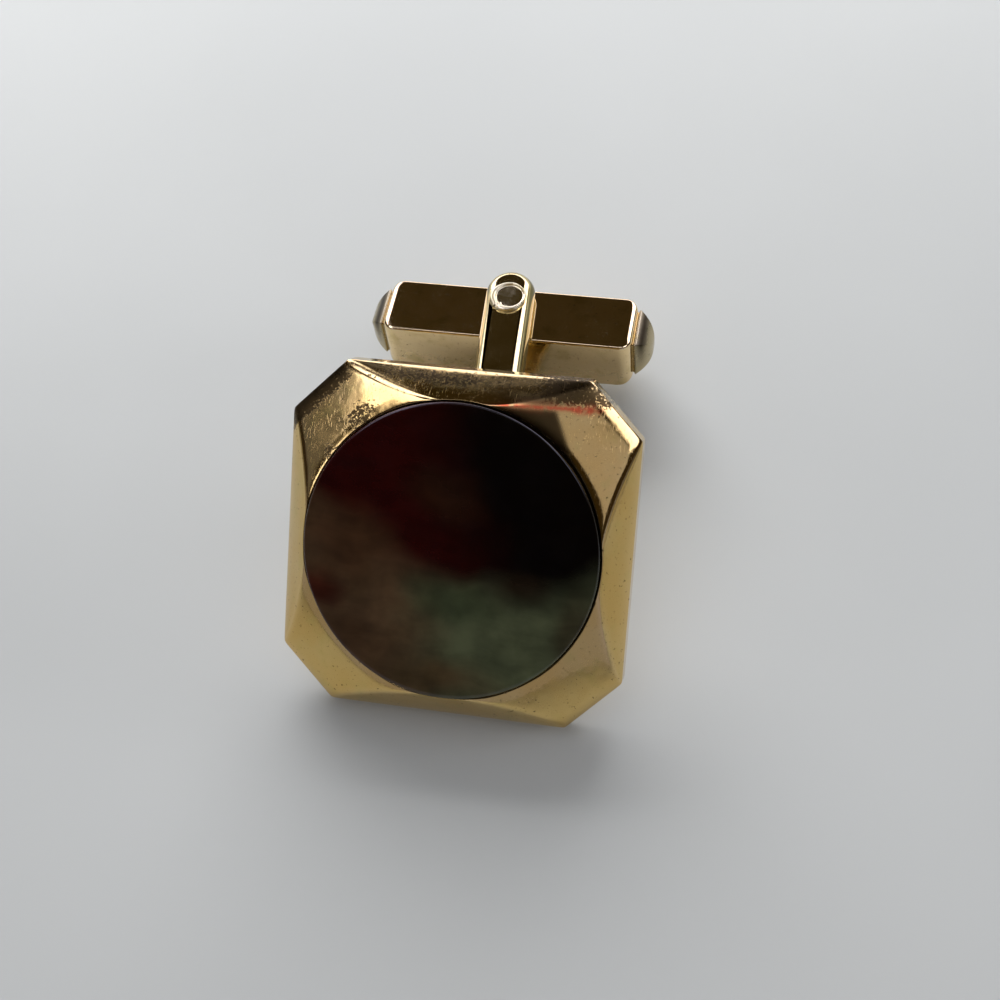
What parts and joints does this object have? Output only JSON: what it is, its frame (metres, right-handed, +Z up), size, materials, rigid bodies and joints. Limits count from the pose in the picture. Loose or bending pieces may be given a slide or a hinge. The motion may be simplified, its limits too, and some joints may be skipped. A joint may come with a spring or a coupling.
{
  "type": "cufflink",
  "caption": "Swivel-bar cufflink: faceted square gold-tone head round a dark pearl disc, forked post, box-section bar that locks crosswise behind the cuff.",
  "frame": {"origin": "on the table, under the middle of the cufflink's box as it rests on its head's lower back edge and the rivet under the fork", "axes": "+Z up from the table; the face looks towards -Y and up; +X to the right of someone who looks at the face"},
  "size_m": [0.019, 0.026, 0.0131],
  "materials": {
    "gold": "polished gold plate, a little worn",
    "back_gold": "satin gold plate",
    "pearl": "polished dark mother-of-pearl",
    "cement": "set resin cement",
    "solder": "brazed bead",
    "spring_steel": "hardened strip"
  },
  "bodies": {
    "root": {"face_frame": "gold", "pearl_disc": "pearl", "cement_bed": "cement", "back_plate": "back_gold", "post_base": "back_gold", "solder_fillet": "solder", "fork": "gold", "pivot_pin": "gold"},
    "toggle": {"toggle_tube": "gold", "toggle_cap_left": "gold", "toggle_cap_right": "gold", "click_spring": "spring_steel"}
  },
  "joints": [
    {"name": "toggle_swivel", "type": "hinge", "parent": "root", "child": "toggle", "pos_m": [0, 0.0102, 0.00345], "axis": [0, 0.1476, 0.989], "range_deg": [-90, 90]}
  ]
}
